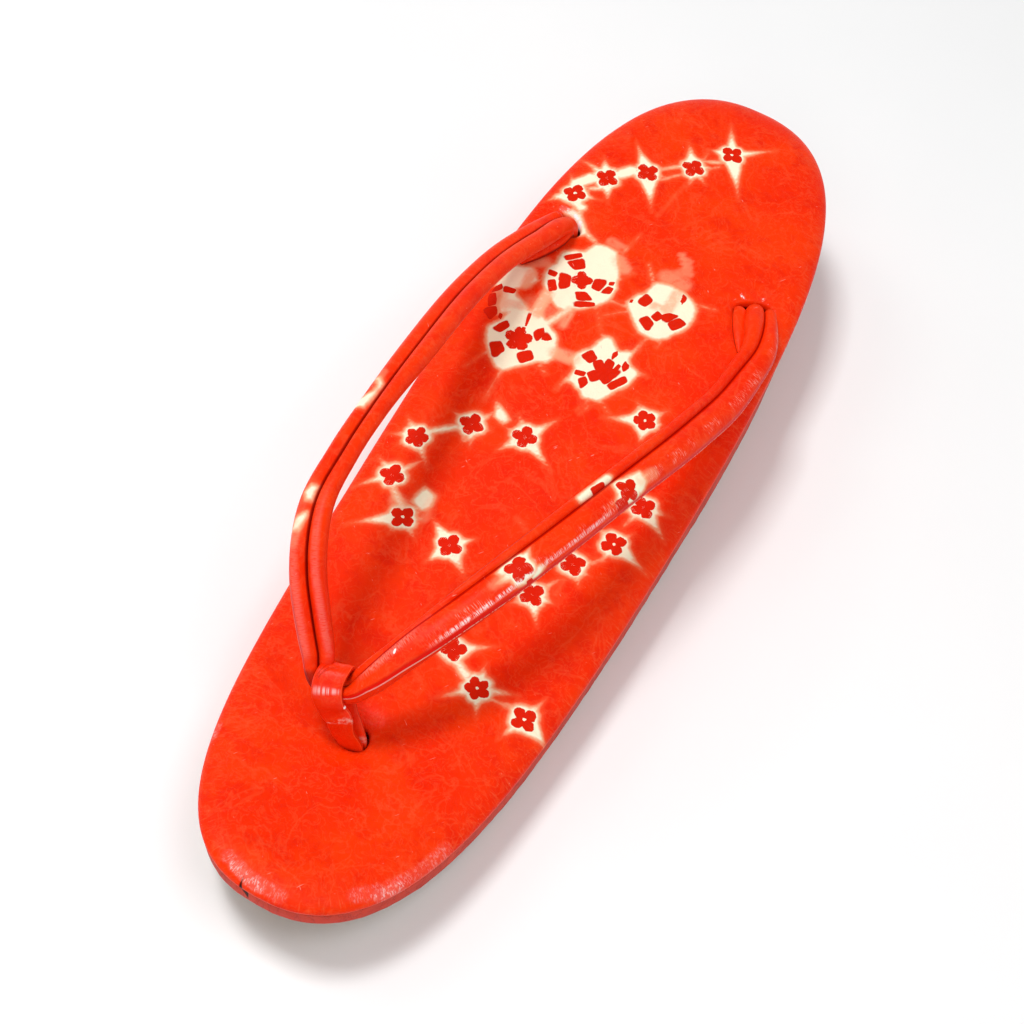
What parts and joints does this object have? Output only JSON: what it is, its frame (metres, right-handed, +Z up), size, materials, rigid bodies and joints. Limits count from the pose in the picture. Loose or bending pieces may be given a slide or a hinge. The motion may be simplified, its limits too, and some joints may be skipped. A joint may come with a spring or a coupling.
{
  "type": "zori sandal",
  "caption": "Thonged sandal on a wrapped wedge sole, with a padded footbed and a V of soft double-roll straps held by a toe loop.",
  "frame": {"origin": "on the floor, under the middle of the sole's outline", "axes": "+Y to the heel, -Y to the toe, +Z up, +X to the wearer's left when the toe points away from the wearer"},
  "size_m": [0.0702, 0.235, 0.054],
  "materials": {
    "tan_leather": "plain natural leather, worn smooth",
    "matte_red_leather": "matte pinkish red, wrapped round the wedge",
    "glossy_red_leather": "glossy orange red with fine wrinkles and cream tie-dyed flowers"
  },
  "bodies": {
    "root": {"outsole": "tan_leather", "wedge_sole": "matte_red_leather", "top_cover": "glossy_red_leather", "straps": "glossy_red_leather", "toe_loop": "glossy_red_leather"}
  },
  "joints": []
}
